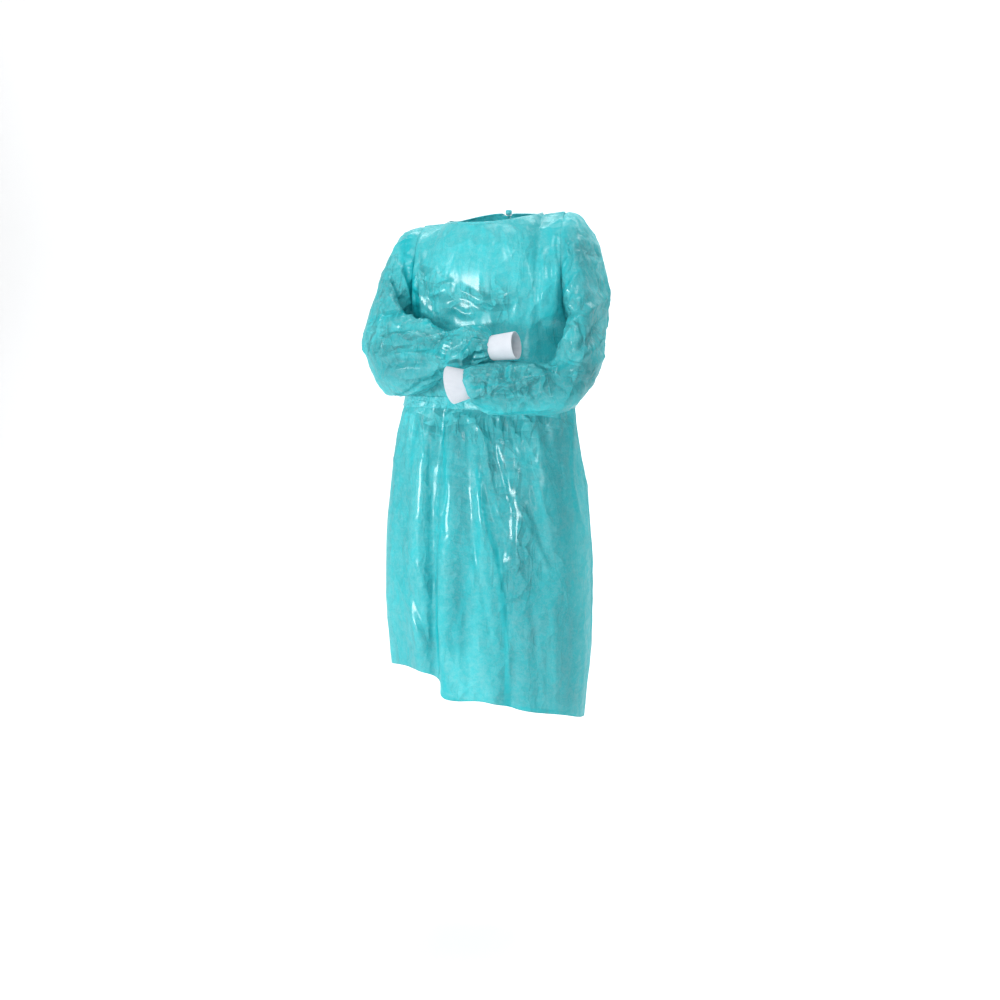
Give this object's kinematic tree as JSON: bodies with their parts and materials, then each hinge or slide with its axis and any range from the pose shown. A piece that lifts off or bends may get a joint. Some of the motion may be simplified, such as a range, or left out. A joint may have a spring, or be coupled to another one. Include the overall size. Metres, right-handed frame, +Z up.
{
  "type": "isolation gown",
  "caption": "Long-sleeved disposable isolation gown in worn form with crossed sleeves, rib-knit cuffs, bound neck, open overlapping back, and neck and waist ties.",
  "frame": {"origin": "middle of the neck on the shoulder line, where a wearer's shoulders hold the gown", "axes": "+Z up, the gown faces -Y, and +X is the wearer's left"},
  "size_m": [0.4979, 0.4691, 1.0188],
  "materials": {
    "coated_cloth": "thin coated nonwoven, glossy and slightly see-through",
    "binding_and_ties": "folded nonwoven, several layers",
    "rib_knit": "white rib knit"
  },
  "bodies": {
    "root": {"front": "coated_cloth", "back_left": "coated_cloth", "back_right": "coated_cloth", "sleeve_left": "coated_cloth", "sleeve_right": "coated_cloth", "cuff_left": "rib_knit", "cuff_right": "rib_knit", "neck_binding": "binding_and_ties", "waist_belt": "binding_and_ties", "waist_knot": "binding_and_ties", "neck_knot": "binding_and_ties", "neck_tie_left": "binding_and_ties", "neck_tie_right": "binding_and_ties", "waist_tie_left": "binding_and_ties", "waist_tie_right": "binding_and_ties"}
  },
  "joints": []
}
